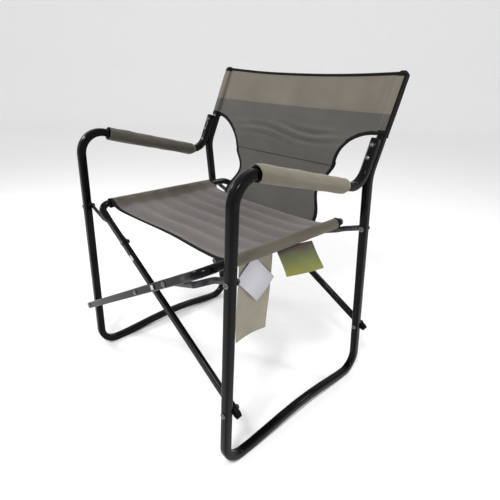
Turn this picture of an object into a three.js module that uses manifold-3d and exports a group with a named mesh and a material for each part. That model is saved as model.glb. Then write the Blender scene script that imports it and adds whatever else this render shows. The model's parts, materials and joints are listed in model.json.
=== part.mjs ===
// A folding camp chair of bent steel tube: two side frames, two crossed leg frames that carry the seat,
// four links, and a fabric seat and back. Millimetres, +Z up; the sitter faces -Y, with +X at the left hand.
import * as THREE from "three";
import { mergeVertices } from "three/addons/utils/BufferGeometryUtils.js";
import Module from "manifold-3d";

const wasm = await Module();
wasm.setup();

// Driving dimensions. Y is 0 near the foot of the front posts, until the last lines centre the chair.
const frameSpan = 600; // between the middle planes of the two side frames
const postTube = 20; // the side frames' tube is square, with rounded corners
const postTubeCorner = 5;
const railTube = 19; // the leg frames' tube is round
const legThickness = 12; // and pressed flat along the legs
const gap = 0.3; // between neighbours that touch
const frontCornerY = -4;
const floorSpan = 507.5; // front corner to rear corner of a side frame
const floorRailHeight = 10;
const archStart = 79; // along the floor from the front corner
const archTop = 269;
const archEnd = 434;
const archRise = 17;
const archEndBend = 300;
const archTopBend = 900;
const footBend = 48;
const frontPostLean = 0.0242; // rearward for each unit of height
const rearPostLean = -0.115;
const armFrontHeight = 670;
const armFrontBend = 55;
const armSlope = -0.25;
const armElbowBend = 50;
const armEndHeight = 680;
const armRivetHeights = { lower: 636, upper: 664 };
const backKneeHeight = 597;
const backKneeBend = 80;
const backLean = 0.43;
const backTopHeight = 812;
const lowerPivotHeight = 155;
const openTilt = THREE.MathUtils.degToRad(60); // of the legs, from the vertical
const foldedTilt = THREE.MathUtils.degToRad(15);
const legLength = 635; // lower pivot to the rail's centre line
const legDepth = 487.5; // front leg to rear leg, at the lower pivots
const legTail = 22; // below the lower pivot
const rearLegLean = -0.05; // forward for each unit up the leg
const legBend = 28;
const roundLength = 15; // of round tube before each bend
const pressLength = 25; // over which round tube turns flat
const linkPostHeight = 460;
const linkWidth = 14;
const linkThickness = 2.5;
const linkTail = 9; // beyond each of its pivots
const linkSlide = 45; // how far down its leg a link reaches while it swings
const linkLap = 65; // how far up its post a folded link still lies over it
const joggleStart = 0.34; // shares of a link's length
const joggleEnd = 0.5;
const joggleBend = 8;
const thinSpacer = 3;
const thickSpacer = 5;
const spacerWall = 2.5;
const shankRadius = 3;
const headRadius = 6.5;
const headHeight = 3.5;
const capHeight = 7;
const capDepth = 3.5; // how far a shank reaches into its domed cap
const seatFront = 49;
const seatRear = 402;
const seatSag = 8;
const fabricThickness = 1.5;
const panelThickness = 3;
const backFabricTop = 822;
const backFabricCorner = 690; // lowest point of the fabric on an upright
const backTopDip = 10;
const tongueTopWidth = 350;
const tongueFootWidth = 330;
const padRadius = 16;
const padCoverLength = 262;
const padEnd = 4; // of foam that shows at each end of its cover
const padStart = { left: 78, right: 98 }; // the two loose covers don't sit alike
const labelTurns = { care_label: -0.05, hang_card_plain: 0.72, hang_card_tinted: -0.12 };

// Facets.
const roundSides = 12;
const tubeSides = 16;
const domeSteps = 2;
const bendStep = THREE.MathUtils.degToRad(12);
const curveSteps = 6;

// Values that follow from the driving dimensions.
const halfSpan = frameSpan / 2;
const halfTube = postTube / 2;
const halfLeg = legThickness / 2;
const rearCornerY = frontCornerY + floorSpan;
const frontPostY = (z) => frontCornerY + frontPostLean * (z - floorRailHeight);
const rearPostY = (z) => rearCornerY + rearPostLean * (z - floorRailHeight);
const backKneeY = rearPostY(backKneeHeight);
const backAngle = Math.atan(backLean);
const backY = (z) => backKneeY + backLean * (z - backKneeHeight);
const armEndY = (z) => backY(z) - (postTube + gap) / Math.cos(backAngle);
const armFrontY = frontPostY(armFrontHeight);
const armZ = (y) => armFrontHeight + armSlope * (y - armFrontY);
const armElbowY = (armEndY(0) + backLean * armZ(0)) / (1 - backLean * armSlope);
const pivotToCentre = halfSpan / Math.sin(openTilt);
const railX = legLength * Math.sin(openTilt) - halfSpan;
const railZ = lowerPivotHeight + legLength * Math.cos(openTilt);
// A link fits both the open chair and the folded one at only one place on the leg.
const meanCosine = (Math.cos(openTilt) + Math.cos(foldedTilt)) / 2;
const linkRise = linkPostHeight - lowerPivotHeight;
const centreToLink = 1 / ((4 * meanCosine) / linkRise - 1 / pivotToCentre);
const pivotToLink = pivotToCentre + centreToLink;
const linkFootX = centreToLink * Math.sin(openTilt);
const linkFootZ = lowerPivotHeight + pivotToLink * Math.cos(openTilt);
const linkRun = halfSpan - linkFootX;
const linkDrop = linkPostHeight - linkFootZ;
const linkLength = Math.hypot(linkRun, linkDrop);

// The gap that keeps a flat piece clear of a leaning one, out to its own reach from the pivot.
const clear = (lean, reach = headRadius) => gap + reach * Math.abs(lean);

// The front and rear ends of the chair: the post, and the two legs that cross. The left leg frame passes
// ahead of the right post, the right one behind the left post.
const pivotSeat = halfTube + clear(frontPostLean) + gap + halfLeg;
const legAheadY = frontPostY(lowerPivotHeight) - pivotSeat - thickSpacer;
const legBehindY = frontPostY(lowerPivotHeight) + pivotSeat + thinSpacer;
const chairEnds = {
  front: { postY: frontPostY, postLean: frontPostLean, legY: () => 0, legLean: 0 },
  rear: {
    postY: rearPostY,
    postLean: rearPostLean,
    legY: (s) => legDepth + rearLegLean * s,
    legLean: rearLegLean,
  },
};

const finishes = {
  steel: { color: 0x0b0b0d, roughness: 0.25, metalness: 0.4 },
  strap: { color: 0x2a2b2e, roughness: 0.4, metalness: 0.5 },
  plastic: { color: 0x101010, roughness: 0.45, metalness: 0 },
  foam: { color: 0x151515, roughness: 0.95, metalness: 0 },
  taupe: { color: 0x7a7567, roughness: 0.9, metalness: 0 },
  grey: { color: 0x5f5d5b, roughness: 0.9, metalness: 0 },
  cream: { color: 0xa5a094, roughness: 0.9, metalness: 0 },
  card: { color: 0xe8e8ea, roughness: 0.6, metalness: 0 },
};

const chair = new THREE.Group();

function add(name, geometry, finish, parent = chair) {
  const mesh = new THREE.Mesh(geometry, new THREE.MeshStandardMaterial(finishes[finish]));
  mesh.name = name;
  parent.add(mesh);
  return mesh;
}

// A centre line in the YZ plane: straight runs between corners, each rounded to its bend radius.
// A corner without a radius only adds a ring to a straight run.
class BentPath extends THREE.Curve {
  constructor(corners) {
    super();
    const points = corners.map(([y, z]) => new THREE.Vector3(0, y, z));
    const along = (i) => points[i + 1].clone().sub(points[i]).normalize();
    const last = points.length - 1;
    this.rings = [{ point: points[0], tangent: along(0) }];
    for (let i = 1; i < last; i += 1) this.addBend(points[i], along(i - 1), along(i), corners[i][2]);
    this.rings.push({ point: points[last], tangent: along(last - 1) });
  }

  addBend(corner, before, after, radius) {
    if (!radius) {
      this.rings.push({ point: corner, tangent: before });
      return;
    }
    const turn = before.angleTo(after);
    const start = corner.clone().addScaledVector(before, -radius * Math.tan(turn / 2));
    const inward = after.clone().addScaledVector(before, -Math.cos(turn)).normalize();
    const steps = Math.max(2, Math.ceil(turn / bendStep));
    for (let i = 0; i <= steps; i += 1) {
      const angle = (turn * i) / steps;
      const point = start.clone().addScaledVector(before, radius * Math.sin(angle));
      point.addScaledVector(inward, radius * (1 - Math.cos(angle)));
      const tangent = before.clone().multiplyScalar(Math.cos(angle));
      tangent.addScaledVector(inward, Math.sin(angle));
      this.rings.push({ point, tangent });
    }
  }

  getSpacedPoints() {
    return this.rings.map((ring) => ring.point);
  }

  getTangentAt(u, target = new THREE.Vector3()) {
    return target.copy(this.rings[Math.round(u * (this.rings.length - 1))].tangent);
  }
}

// Outlines are lists of points, anticlockwise.
function arc(x, y, radius, from, turn, steps) {
  return Array.from({ length: steps + 1 }, (_, i) => {
    const angle = from + (turn * i) / steps;
    return new THREE.Vector2(x + radius * Math.cos(angle), y + radius * Math.sin(angle));
  });
}

function circle(radius) {
  return arc(0, 0, radius, 0, 2 * Math.PI, tubeSides).slice(1);
}

function roundedSquare(size, corner) {
  const middle = size / 2 - corner;
  const quarter = Math.PI / 2;
  return [
    ...arc(middle, middle, corner, 0, quarter, 2),
    ...arc(-middle, middle, corner, quarter, quarter, 2),
    ...arc(-middle, -middle, corner, 2 * quarter, quarter, 2),
    ...arc(middle, -middle, corner, 3 * quarter, quarter, 2),
  ];
}

function rectangle(width, height) {
  const w = width / 2;
  const h = height / 2;
  return [[-w, -h], [w, -h], [w, h], [-w, h]].map(([x, y]) => new THREE.Vector2(x, y));
}

function stadium(width, length) {
  const radius = width / 2;
  const half = length / 2 - radius;
  return [
    ...arc(0, half, radius, 0, Math.PI, roundSides / 2),
    ...arc(0, -half, radius, Math.PI, Math.PI, roundSides / 2),
  ];
}

function ring(outer, inner) {
  const shape = new THREE.Shape(outer);
  shape.holes.push(new THREE.Path(inner));
  return shape;
}

function sweep(outline, path) {
  return new THREE.ExtrudeGeometry(new THREE.Shape(outline), { steps: path.rings.length - 1, extrudePath: path });
}

// A shape that stands in XZ, pushed from Y = 0 to a length behind it.
function pushBack(shape, length) {
  const options = { depth: length, bevelEnabled: false, curveSegments: curveSteps };
  return new THREE.ExtrudeGeometry(shape, options).rotateX(Math.PI / 2).translate(0, length, 0);
}

// A shape in XY with the thickness of the panels.
function slab(shape) {
  const options = { depth: panelThickness, bevelEnabled: false, curveSegments: curveSteps };
  return new THREE.ExtrudeGeometry(shape, options).translate(0, 0, -panelThickness / 2);
}

// A closed mesh as a manifold solid, and back.
function toSolid(geometry) {
  const bare = geometry.clone();
  bare.deleteAttribute("normal");
  bare.deleteAttribute("uv");
  const merged = mergeVertices(bare, 1e-4);
  const vertProperties = new Float32Array(merged.attributes.position.array);
  const triVerts = new Uint32Array(merged.index.array);
  return new wasm.Manifold(new wasm.Mesh({ numProp: 3, vertProperties, triVerts }));
}

function toGeometry(solid) {
  const mesh = solid.getMesh();
  const geometry = new THREE.BufferGeometry();
  geometry.setAttribute("position", new THREE.BufferAttribute(mesh.vertProperties, 3));
  geometry.setIndex(new THREE.BufferAttribute(mesh.triVerts, 1));
  geometry.computeVertexNormals();
  return geometry;
}

function drill(solid, holes) {
  return toGeometry(holes.reduce((rest, hole) => rest.subtract(toSolid(hole)), solid));
}

// A hole along Y, or tipped down towards its rear end by an angle.
function hole(y, z, tip = 0) {
  const radius = shankRadius + gap;
  return new THREE.CylinderGeometry(radius, radius, 3 * postTube, roundSides).rotateX(-tip).translate(0, y, z);
}

// Fasteners are turned about Y. Each bears at Y = 0, with its head or dome on the far side of that.
function lathe(profile) {
  return new THREE.LatheGeometry(profile.map(([r, y]) => new THREE.Vector2(r, y)), roundSides);
}

function dome(radius, base, height) {
  const rim = arc(0, 0, 1, 0, Math.PI / 2, domeSteps).slice(0, -1);
  return [...rim.map((p) => [radius * p.x, base + height * p.y]), [0, base + height]];
}

function boltGeometry(shankLength) {
  const rim = headHeight / 3;
  const shank = [[0, -shankLength], [shankRadius, -shankLength], [shankRadius, 0]];
  return lathe([...shank, [headRadius, 0], ...dome(headRadius, rim, headHeight - rim)]).rotateZ(Math.PI);
}

function capGeometry() {
  const rim = capHeight / 3;
  const bore = shankRadius + gap;
  return lathe([[0, capDepth], [bore, capDepth], [bore, 0], [headRadius, 0],
    ...dome(headRadius, rim, capHeight - rim)]);
}

// A domed cap with a stub of its own, for the pivot that is split between two pieces.
function studGeometry(stubLength) {
  const rim = capHeight / 3;
  return lathe([[0, -stubLength], [shankRadius, -stubLength], [shankRadius, 0], [headRadius, 0],
    ...dome(headRadius, rim, capHeight - rim)]);
}

function rivetGeometry(length) {
  const half = length / 2;
  const far = dome(headRadius - 1, half, headHeight);
  const near = far.map(([r, y]) => [r, -y]).reverse();
  return lathe([...near, [shankRadius, -half], [shankRadius, half], ...far]);
}

function spacerGeometry(length) {
  const inner = shankRadius + gap;
  const outer = inner + spacerWall;
  return lathe([[inner, 0], [outer, 0], [outer, length], [inner, length], [inner, 0]]);
}

// A bolt from its head's seat to its domed cap's seat, both given in Y.
function addBolt(name, x, z, headSeat, capSeat) {
  add(`${name}_bolt`, boltGeometry(capSeat - headSeat + capDepth - gap), "steel").position.set(x, headSeat, z);
  add(`${name}_cap`, capGeometry(), "plastic").position.set(x, capSeat, z);
}

// A pivot through two tubes, the nearer first, with a spacer between them.
function addPivot(name, x, z, near, far) {
  const spacerStart = near.y + near.half + clear(near.lean);
  const spacerEnd = far.y - far.half - clear(far.lean);
  add(`${name}_spacer`, spacerGeometry(spacerEnd - spacerStart), "plastic").position.set(x, spacerStart, z);
  addBolt(name, x, z, near.y - near.half - clear(near.lean), far.y + far.half + clear(far.lean));
}

// Side frame: one tube from the arm's end, over the arm, along the floor and up to the top of the back.
function sideFrameGeometry() {
  const path = new BentPath([
    [armEndY(armEndHeight), armEndHeight],
    [armElbowY, armZ(armElbowY), armElbowBend],
    [armFrontY, armFrontHeight, armFrontBend],
    [frontCornerY, floorRailHeight, footBend],
    [frontCornerY + archStart, floorRailHeight, archEndBend],
    [frontCornerY + archTop, floorRailHeight + archRise, archTopBend],
    [frontCornerY + archEnd, floorRailHeight, archEndBend],
    [rearCornerY, floorRailHeight, footBend],
    [backKneeY, backKneeHeight, backKneeBend],
    [backY(backTopHeight), backTopHeight],
  ]);
  return drill(toSolid(sweep(roundedSquare(postTube, postTubeCorner), path)), [
    hole(frontPostY(lowerPivotHeight), lowerPivotHeight),
    hole(rearPostY(lowerPivotHeight), lowerPivotHeight),
    hole(frontPostY(linkPostHeight), linkPostHeight),
    hole(rearPostY(linkPostHeight), linkPostHeight),
    ...armRivetSeats().map(({ y, z }) => hole(y, z, backAngle)),
  ]);
}

// Middle points of the two rivets, between the arm's end and the upright behind it.
function armRivetSeats() {
  const reach = (postTube + gap) / 2;
  return Object.entries(armRivetHeights).map(([place, z]) => ({
    place,
    y: armEndY(z) + reach * Math.cos(backAngle),
    z: z - reach * Math.sin(backAngle),
  }));
}

// Leg frame: front leg, seat rail and rear leg in one tube. Z runs up the legs from the lower pivots.
function legFrameGeometry() {
  const rearY = chairEnds.rear.legY;
  const roundFrom = legLength - legBend - roundLength;
  const flatUntil = roundFrom - pressLength;
  const path = new BentPath([
    [0, -legTail],
    [0, flatUntil],
    [0, roundFrom],
    [0, legLength, legBend],
    [rearY(legLength), legLength, legBend],
    [rearY(roundFrom), roundFrom],
    [rearY(flatUntil), flatUntil],
    [rearY(-legTail), -legTail],
  ]);
  const tube = sweep(circle(railTube / 2), path);
  const position = tube.attributes.position;
  for (let i = 0; i < position.count; i += 1) {
    const s = position.getZ(i);
    const middle = position.getY(i) < legDepth / 2 ? 0 : rearY(s);
    const round = position.getY(i) - middle;
    const flat = THREE.MathUtils.clamp(round, -halfLeg, halfLeg);
    const flatness = THREE.MathUtils.clamp((roundFrom - s) / pressLength, 0, 1);
    position.setY(i, middle + THREE.MathUtils.lerp(round, flat, flatness));
  }
  const pivots = [0, pivotToCentre, pivotToLink];
  return drill(toSolid(tube), pivots.flatMap((s) => [hole(0, s), hole(rearY(s), s)]));
}

// Link: a flat strap with a joggle and round ends. Z runs along it, from the post's pivot to the leg's.
function linkGeometry(postEndY, legEndY) {
  const path = new BentPath([
    [postEndY, -2 * linkTail],
    [postEndY, linkLength * joggleStart, joggleBend],
    [legEndY, linkLength * joggleEnd, joggleBend],
    [legEndY, linkLength + 2 * linkTail],
  ]);
  const strap = toSolid(sweep(rectangle(linkThickness, linkWidth), path));
  const outline = new THREE.Shape(stadium(linkWidth, linkLength + 2 * linkTail));
  const prism = pushBack(outline, 2 * floorSpan).translate(0, -floorSpan / 2, linkLength / 2);
  return drill(strap.intersect(toSolid(prism)), [hole(postEndY, 0), hole(legEndY, linkLength)]);
}

// One side of the chair: its frame, the rivets of its arm, its arm pad and the back fabric's sleeve.
function addSide(side, sign) {
  const group = new THREE.Group();
  group.position.x = sign * halfSpan;
  chair.add(group);
  add(`side_frame_${side}`, sideFrameGeometry(), "steel", group);
  for (const { place, y, z } of armRivetSeats()) {
    const rivet = add(`arm_rivet_${place}_${side}`, rivetGeometry(2 * postTube + 3 * gap), "steel", group);
    rivet.position.set(0, y, z);
    rivet.rotation.x = -backAngle;
  }
  addArmPad(side, group);
  const width = postTube + 2 * gap;
  const outer = roundedSquare(width + 2 * fabricThickness, postTubeCorner);
  const sleeveShape = ring(outer, roundedSquare(width, postTubeCorner));
  const sleeveLength = (backFabricTop - backFabricCorner) / Math.cos(backAngle);
  const sleeve = add(`back_sleeve_${side}`, pushBack(sleeveShape, sleeveLength), "taupe", group);
  sleeve.position.set(0, backY(backFabricCorner), backFabricCorner);
  sleeve.rotation.x = Math.PI / 2 - backAngle;
}

function addArmPad(side, group) {
  const start = padStart[side];
  const foamShape = ring(circle(padRadius), roundedSquare(postTube + 2 * gap, postTubeCorner));
  const foam = add(`arm_foam_${side}`, pushBack(foamShape, padCoverLength + 2 * padEnd), "foam", group);
  const coverShape = ring(circle(padRadius + gap + fabricThickness), circle(padRadius + gap));
  const coverGeometry = pushBack(coverShape, padCoverLength).translate(0, padEnd, 0);
  const cover = add(`arm_cover_${side}`, coverGeometry, "taupe", group);
  for (const piece of [foam, cover]) {
    piece.position.set(0, start, armZ(start));
    piece.rotation.x = Math.atan(armSlope);
  }
}

// Each leg frame leans from the far side to its own, and carries that side's sleeve of the seat.
function addLegFrame(side, sign, frontY) {
  const frame = add(`leg_frame_${side}`, legFrameGeometry(), "steel");
  frame.position.set(-sign * halfSpan, frontY, lowerPivotHeight);
  frame.rotation.y = sign * openTilt;
  const innerRadius = railTube / 2 + gap;
  const sleeveShape = ring(circle(innerRadius + fabricThickness), circle(innerRadius));
  const sleeve = add(`seat_sleeve_${side}`, pushBack(sleeveShape, seatRear - seatFront), "taupe");
  sleeve.position.set(sign * railX, seatFront, railZ);
}

// The lower pivots and the centre pivot at one end of the chair.
function addLegPivots(end) {
  const { postY, postLean, legY, legLean } = chairEnds[end];
  const post = { y: postY(lowerPivotHeight), half: halfTube, lean: postLean };
  const leg = (frontY, s) => ({ y: frontY + legY(s), half: halfLeg, lean: legLean });
  addPivot(`lower_${end}_left`, halfSpan, lowerPivotHeight, post, leg(legBehindY, 0));
  addPivot(`lower_${end}_right`, -halfSpan, lowerPivotHeight, leg(legAheadY, 0), post);
  const centreZ = lowerPivotHeight + pivotToCentre * Math.cos(openTilt);
  addPivot(`centre_${end}`, 0, centreZ, leg(legAheadY, pivotToCentre), leg(legBehindY, pivotToCentre));
}

// One link, behind its post at one end and behind its leg at the other. The pivot on the post is a bolt
// and a cap; the one on the leg is a screw in the leg and a stud in the link, which don't meet.
function addLink(end, side, sign, legFrontY) {
  const { postY, postLean, legY, legLean } = chairEnds[end];
  const post = postY(linkPostHeight);
  const leg = legFrontY + legY(pivotToLink);
  // a post that leans back comes nearer the strap above its pivot
  const postReach = postLean > 0 ? linkLap : linkTail;
  const postEndY = post + halfTube + clear(postLean, postReach) + linkThickness / 2;
  const legEndY = leg + halfLeg + clear(legLean, linkSlide) + linkThickness / 2;
  const link = add(`link_${end}_${side}`, linkGeometry(postEndY, legEndY), "strap");
  link.position.set(sign * halfSpan, 0, linkPostHeight);
  link.rotation.y = Math.atan2(-sign * linkRun, -linkDrop);
  const capSeat = (y) => y + linkThickness / 2 + gap;
  addBolt(`link_post_${end}_${side}`, sign * halfSpan, linkPostHeight, post - halfTube - clear(postLean),
    capSeat(postEndY));
  const headSeat = leg - halfLeg - clear(legLean);
  const screw = add(`link_leg_${end}_${side}_screw`, boltGeometry(leg + halfLeg - gap - headSeat), "steel");
  screw.position.set(sign * linkFootX, headSeat, linkFootZ);
  const stud = add(`link_leg_${end}_${side}_stud`, studGeometry(linkThickness + gap), "plastic");
  stud.position.set(sign * linkFootX, capSeat(legEndY), linkFootZ);
}

// The seat hangs between its sleeves, a little lower in the middle.
function addSeatPanel() {
  const w = railX - railTube / 2 - gap - fabricThickness - gap;
  const low = -panelThickness / 2;
  const high = panelThickness / 2;
  const shape = new THREE.Shape();
  shape.moveTo(-w, low);
  shape.quadraticCurveTo(0, low - 2 * seatSag, w, low);
  shape.lineTo(w, high);
  shape.quadraticCurveTo(0, high - 2 * seatSag, -w, high);
  add("seat_panel", pushBack(shape, seatRear - seatFront), "grey").position.set(0, seatFront, railZ);
}

// The back is stretched between the uprights, and cut away below the arms.
function addBackPanel() {
  const up = (z) => (z - backKneeHeight) / Math.cos(backAngle);
  const w = halfSpan - halfTube - gap - fabricThickness - gap;
  const waist = tongueTopWidth / 2;
  const corner = up(backFabricCorner);
  const top = up(backFabricTop);
  const bend = (w - waist) / 3;
  const shape = new THREE.Shape();
  shape.moveTo(-waist, gap);
  shape.lineTo(waist, gap);
  shape.bezierCurveTo(waist, corner / 2, waist + bend, corner - gap, w, corner);
  shape.lineTo(w, top);
  shape.quadraticCurveTo(0, top - 2 * backTopDip, -w, top);
  shape.lineTo(-w, corner);
  shape.bezierCurveTo(-waist - bend, corner - gap, -waist, corner / 2, -waist, gap);
  const back = add("back_panel", slab(shape), "grey");
  back.position.set(0, backKneeY, backKneeHeight);
  back.rotation.x = Math.PI / 2 - backAngle;
}

// The tongue runs from the back panel down to the rear edge of the seat.
function addTongue() {
  const foot = new THREE.Vector2(seatRear + panelThickness, railZ - seatSag);
  const rise = new THREE.Vector2(backKneeY, backKneeHeight).sub(foot);
  const length = rise.length() - panelThickness;
  const shape = new THREE.Shape();
  shape.moveTo(-tongueFootWidth / 2, 0);
  shape.lineTo(tongueFootWidth / 2, 0);
  shape.lineTo(tongueTopWidth / 2, length);
  shape.lineTo(-tongueTopWidth / 2, length);
  const tongue = add("back_tongue", slab(shape), "grey");
  tongue.position.set(0, foot.x, foot.y);
  tongue.rotation.x = rise.angle();
}

// The care label and two blank cards hang under the left rail, each in a plane of its own.
function addLabels() {
  const labels = [
    { name: "care_label", y: 133, x: 235, size: [0.8, 100, 200], finish: "cream" },
    { name: "hang_card_plain", y: 133, x: 238, size: [0.8, 68, 92], finish: "card" },
    { name: "hang_card_tinted", y: 245, x: 241, size: [0.8, 118, 68], finish: "card" },
  ];
  const hangZ = railZ - railTube / 2 - fabricThickness - 2 * gap;
  for (const { name, x, y, size, finish } of labels) {
    const turn = labelTurns[name];
    const halfHeight = (size[1] * Math.abs(Math.sin(turn)) + size[2] * Math.cos(turn)) / 2;
    const label = add(name, new THREE.BoxGeometry(...size), finish);
    label.position.set(x, y, hangZ - halfHeight);
    label.rotation.x = turn;
  }
}

addSide("left", 1);
addSide("right", -1);
addLegFrame("left", 1, legAheadY);
addLegFrame("right", -1, legBehindY);
for (const end of Object.keys(chairEnds)) {
  addLegPivots(end);
  addLink(end, "left", 1, legAheadY);
  addLink(end, "right", -1, legBehindY);
}
addSeatPanel();
addBackPanel();
addTongue();
addLabels();

// The origin is on the floor, under the middle of the chair's box.
const box = new THREE.Box3().setFromObject(chair);
chair.position.set(0, -(box.min.y + box.max.y) / 2, -box.min.z);

export default chair;
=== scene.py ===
import json
import math

import bmesh
import bpy
from mathutils import Matrix, Vector, noise

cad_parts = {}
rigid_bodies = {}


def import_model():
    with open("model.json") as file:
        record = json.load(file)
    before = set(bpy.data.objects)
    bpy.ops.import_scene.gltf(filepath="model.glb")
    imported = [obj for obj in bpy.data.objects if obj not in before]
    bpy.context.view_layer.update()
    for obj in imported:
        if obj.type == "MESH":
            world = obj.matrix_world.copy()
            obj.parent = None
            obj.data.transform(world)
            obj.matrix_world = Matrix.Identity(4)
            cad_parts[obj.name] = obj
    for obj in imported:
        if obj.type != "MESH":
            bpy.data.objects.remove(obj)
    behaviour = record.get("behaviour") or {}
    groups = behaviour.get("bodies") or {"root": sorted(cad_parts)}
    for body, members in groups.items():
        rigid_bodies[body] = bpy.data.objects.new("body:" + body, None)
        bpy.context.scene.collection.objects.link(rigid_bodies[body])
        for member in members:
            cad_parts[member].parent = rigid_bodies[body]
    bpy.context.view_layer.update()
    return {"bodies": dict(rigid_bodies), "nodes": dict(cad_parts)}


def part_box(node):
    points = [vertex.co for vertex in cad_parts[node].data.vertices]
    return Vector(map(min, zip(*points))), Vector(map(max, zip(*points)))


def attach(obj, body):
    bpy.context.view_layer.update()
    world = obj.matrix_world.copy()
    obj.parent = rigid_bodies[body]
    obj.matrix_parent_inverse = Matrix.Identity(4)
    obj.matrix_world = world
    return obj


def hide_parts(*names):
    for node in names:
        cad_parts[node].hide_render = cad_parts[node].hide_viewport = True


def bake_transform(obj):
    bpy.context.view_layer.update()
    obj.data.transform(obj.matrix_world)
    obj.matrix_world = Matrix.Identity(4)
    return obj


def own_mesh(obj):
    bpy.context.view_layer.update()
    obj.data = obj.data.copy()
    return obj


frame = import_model()
print("frame loaded")

# metres and radians; depths run back from the foot of the front posts, and depthShift moves them to the frame
size = {
    "halfSpan": 0.3,
    "frontCorner": -0.004,
    "floorSpan": 0.5075,
    "floorRail": 0.010,
    "arch": [(0.079, 0.0, 0.3), (0.269, 0.017, 0.9), (0.434, 0.0, 0.3)],
    "footBend": 0.048,
    "frontLean": 0.0242,
    "rearLean": -0.115,
    "armFront": 0.670,
    "armFrontBend": 0.055,
    "armSlope": -0.25,
    "armElbowBend": 0.050,
    "armEnd": 0.680,
    "backKnee": 0.597,
    "backKneeBend": 0.080,
    "backLean": 0.43,
    "backTop": 0.812,
    "lowerPivot": 0.155,
    "openTilt": math.radians(60),
    "legLength": 0.635,
    "legDepth": 0.4875,
    "legTail": 0.022,
    "legLean": -0.05,
    "legBend": 0.028,
    "seatFront": 0.049,
    "seatRear": 0.402,
    "postTube": 0.020,
    "railTube": 0.019,
}
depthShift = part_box("seat_sleeve_left")[0].y - size["seatFront"]
railZ = size["lowerPivot"] + size["legLength"] * math.cos(size["openTilt"])
railX = size["legLength"] * math.sin(size["openTilt"]) - size["halfSpan"]
backAngle = math.atan(size["backLean"])


def frontPost(z):
    return size["frontCorner"] + size["frontLean"] * (z - size["floorRail"])


def rearPost(z):
    return size["frontCorner"] + size["floorSpan"] + size["rearLean"] * (z - size["floorRail"])


kneeY = rearPost(size["backKnee"])


def backY(z):
    return kneeY + size["backLean"] * (z - size["backKnee"])


def armEndY(z):
    return backY(z) - (size["postTube"] + 0.0003) / math.cos(backAngle)


def armZ(y):
    return size["armFront"] + size["armSlope"] * (y - frontPost(size["armFront"]))


armElbow = (armEndY(0) + size["backLean"] * armZ(0)) / (1 - size["backLean"] * size["armSlope"])


def placed(x, y, z):
    return Vector((x, y + depthShift, z))


# shader helpers
class Wire:
    # a socket that takes part in plain arithmetic
    def __init__(self, paint, socket):
        self.paint = paint
        self.socket = socket

    def maths(self, operation, *values):
        return self.paint.node("Math", {"operation": operation}, dict(enumerate(values)))

    def __add__(self, other):
        return self.maths("ADD", self, other)

    def __radd__(self, other):
        return self.maths("ADD", other, self)

    def __sub__(self, other):
        return self.maths("SUBTRACT", self, other)

    def __rsub__(self, other):
        return self.maths("SUBTRACT", other, self)

    def __mul__(self, other):
        return self.maths("MULTIPLY", self, other)

    def __rmul__(self, other):
        return self.maths("MULTIPLY", other, self)

    def sine(self):
        return self.maths("SINE", self)

    def power(self, other):
        return self.maths("POWER", self, other)


class Paint:
    # one material under construction
    def __init__(self, name):
        self.material = bpy.data.materials.new(name)
        self.material.use_nodes = True
        self.tree = self.material.node_tree
        self.shader = self.tree.nodes["Principled BSDF"]

    def node(self, kind, settings, sockets, output=0):
        # sockets are given by name or by number
        made = self.tree.nodes.new("ShaderNode" + kind)
        for key, value in settings.items():
            if key == "stops":
                ramp = made.color_ramp
                ramp.elements[0].position, ramp.elements[0].color = value[0]
                ramp.elements[1].position, ramp.elements[1].color = value[-1]
                for position, colour in value[1:-1]:
                    ramp.elements.new(position).color = colour
            else:
                setattr(made, key, value)
        for key, value in sockets.items():
            self.join(value, made.inputs[key])
        return Wire(self, made.outputs[output])

    def join(self, value, socket):
        if isinstance(value, Wire):
            self.tree.links.new(value.socket, socket)
        else:
            socket.default_value = value

    def set(self, **sockets):
        for key, value in sockets.items():
            self.join(value, self.shader.inputs[key.replace("_", " ")])
        return self.material

    def place(self, output="Object"):
        return self.node("TexCoord", {}, {}, output)

    def axes(self, vector):
        first = self.node("SeparateXYZ", {}, {0: vector})
        return [Wire(self, socket) for socket in first.socket.node.outputs]

    def noise(self, vector, scale, detail=2.0, roughness=0.5):
        sockets = {"Vector": vector, "Scale": scale, "Detail": detail, "Roughness": roughness}
        return self.node("TexNoise", {}, sockets)

    def mix(self, factor, first, second):
        return self.node("Mix", {"data_type": "RGBA"}, {0: factor, 6: first, 7: second}, output=2)

    def ramp(self, value, low, high):
        # 0 below low, 1 above high
        return self.node("MapRange", {"clamp": True}, {0: value, 1: low, 2: high, 3: 0.0, 4: 1.0})

    def bump(self, height, strength, distance):
        return self.node("Bump", {}, {"Height": height, "Strength": strength, "Distance": distance})


def rgb(red, green, blue):
    # a colour as a screen shows it, 0 to 255
    def linear(c):
        c = c / 255
        return c / 12.92 if c <= 0.04045 else ((c + 0.055) / 1.055) ** 2.4

    return (linear(red), linear(green), linear(blue), 1.0)


# materials
def blackEnamel():
    # powder coat with faint orange peel, and dust that dulls it in patches
    p = Paint("blackEnamel")
    place = p.place()
    peel = p.noise(place, 900.0, 3.0)
    dust = p.ramp(p.noise(place, 14.0, 5.0, 0.6), 0.45, 0.8)
    speck = p.ramp(p.noise(place, 420.0, 2.0), 0.68, 0.78)
    colour = p.mix(dust * 0.4 + speck * 0.15, rgb(5, 5, 6), rgb(18, 18, 20))
    return p.set(
        Base_Color=colour,
        Roughness=0.14 + dust * 0.12 + speck * 0.1,
        Normal=p.bump(peel, 0.05, 0.0004),
        Coat_Weight=0.0,
        Specular_IOR_Level=0.11,
    )


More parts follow.
